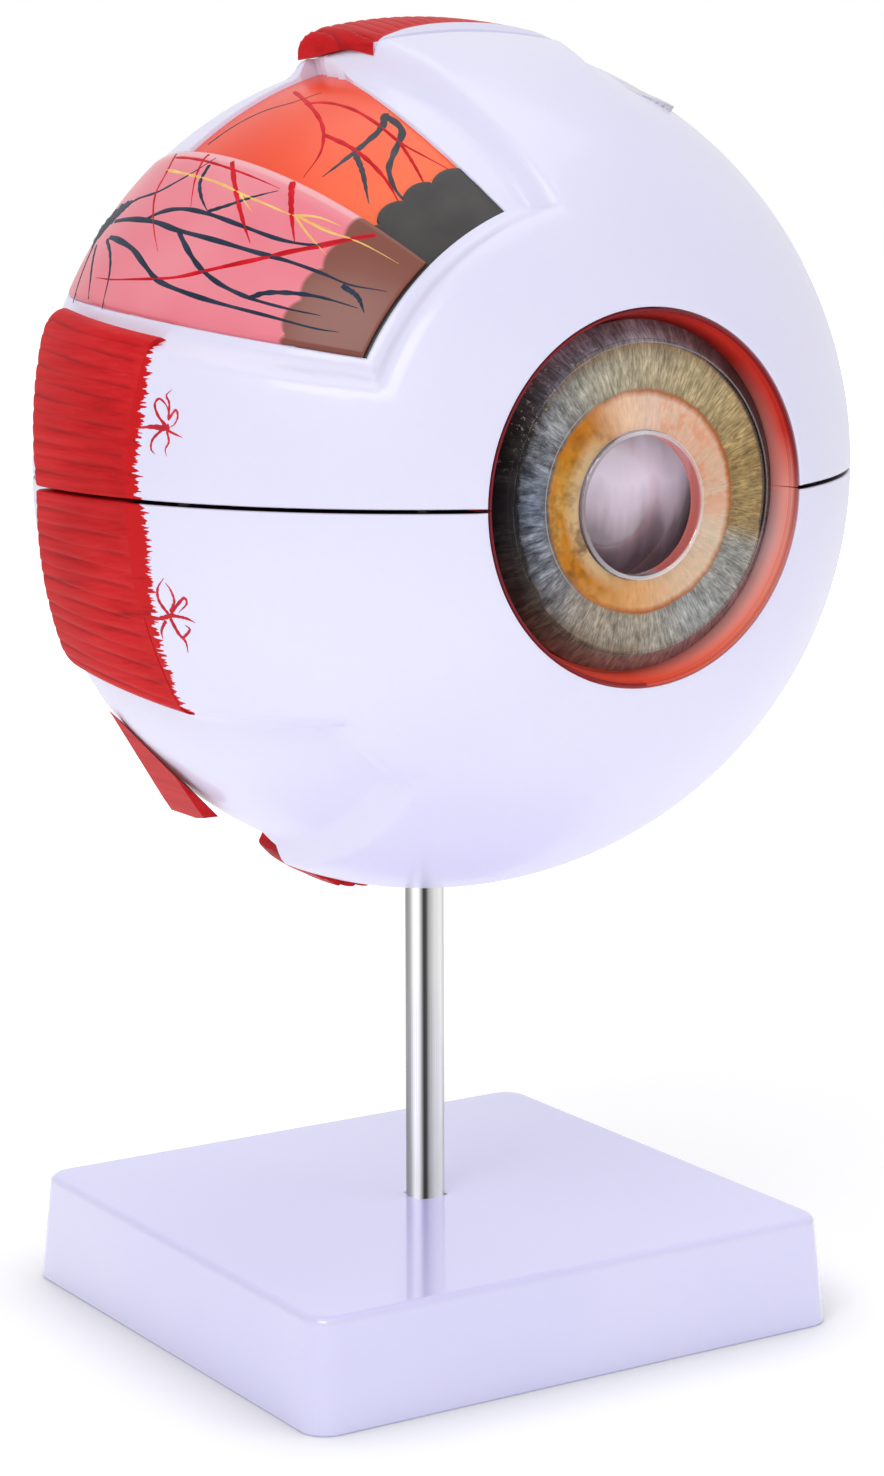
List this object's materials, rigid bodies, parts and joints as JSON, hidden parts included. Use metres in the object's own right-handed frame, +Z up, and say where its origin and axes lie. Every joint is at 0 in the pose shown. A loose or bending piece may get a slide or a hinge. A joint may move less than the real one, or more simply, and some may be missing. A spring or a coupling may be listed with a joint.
{
  "type": "eye anatomy model",
  "caption": "Enlarged take-apart eyeball on a pole and square base: lift-off upper half with a window on layered shells, removable iris cap, lens and clear inner ball",
  "frame": {"origin": "centre of the footprint, on the surface the base stands on", "axes": "+Z up along the pole; the eye looks along -Y; +X is the nose side, -X the temple side with the window"},
  "size_m": [0.15, 0.1368, 0.2313],
  "materials": {
    "sclera_white": "satin moulded, painted vessels",
    "muscle_red": "hand painted, fine dark fibres",
    "retina_orange": "painted, glossy",
    "choroid_pink": "painted, glossy",
    "ora_black": "painted",
    "lining_orange": "painted, darker at the seam",
    "iris_print": "printed fibres",
    "cornea_clear": "clear",
    "lens_clear": "clear, slightly smoky",
    "vitreous_clear": "clear",
    "nerve_sheath_white": "satin",
    "nerve_core_yellow": "painted",
    "base_white": "glossy moulded",
    "pole_steel": "polished",
    "fastener_steel": "plain"
  },
  "bodies": {
    "stand": {"stand_base": "base_white", "support_pole": "pole_steel", "pole_nut": "fastener_steel", "pole_washer": "fastener_steel", "socket_screw": "fastener_steel", "socket_washer": "fastener_steel"},
    "eye_lower": {"sclera_lower": "sclera_white", "lateral_rectus_lower": "muscle_red", "medial_rectus_lower": "muscle_red", "inferior_rectus": "muscle_red", "inferior_oblique": "muscle_red", "optic_nerve_sheath": "nerve_sheath_white", "optic_nerve_core": "nerve_core_yellow", "locating_pins": "fastener_steel"},
    "lining_lower": {"choroid_lower": "lining_orange"},
    "vitreous": {"vitreous_body": "vitreous_clear"},
    "lens_body": {"lens": "lens_clear"},
    "iris": {"iris_disc": "iris_print", "cornea_cap": "cornea_clear"},
    "lining_upper": {"choroid_upper": "lining_orange"},
    "eye_upper": {"sclera_upper": "sclera_white", "retina_panel": "retina_orange", "ora_serrata_band": "ora_black", "choroid_panel": "choroid_pink", "lateral_rectus_upper": "muscle_red", "medial_rectus_upper": "muscle_red", "superior_rectus": "muscle_red", "superior_oblique": "sclera_white"}
  },
  "joints": [
    {"name": "eye_swivel", "type": "hinge", "parent": "stand", "child": "eye_lower", "pos_m": [0, 0, 0.0787], "axis": [0, 0, 1], "continuous": true},
    {"name": "lining_lower_lift", "type": "slide", "parent": "eye_lower", "child": "lining_lower", "axis": [0, 0, 1], "range_m": [0, 0.09]},
    {"name": "vitreous_lift", "type": "slide", "parent": "lining_lower", "child": "vitreous", "axis": [0, 0, 1], "range_m": [0, 0.08]},
    {"name": "lining_upper_lift", "type": "slide", "parent": "vitreous", "child": "lining_upper", "axis": [0, 0, 1], "range_m": [0, 0.08]},
    {"name": "upper_half_lift", "type": "slide", "parent": "lining_upper", "child": "eye_upper", "axis": [0, 0, 1], "range_m": [0, 0.09]},
    {"name": "lens_pull", "type": "slide", "parent": "vitreous", "child": "lens_body", "axis": [0, -1, 0], "range_m": [0, 0.06]},
    {"name": "cornea_pull", "type": "slide", "parent": "lens_body", "child": "iris", "axis": [0, -1, 0], "range_m": [0, 0.05]}
  ]
}
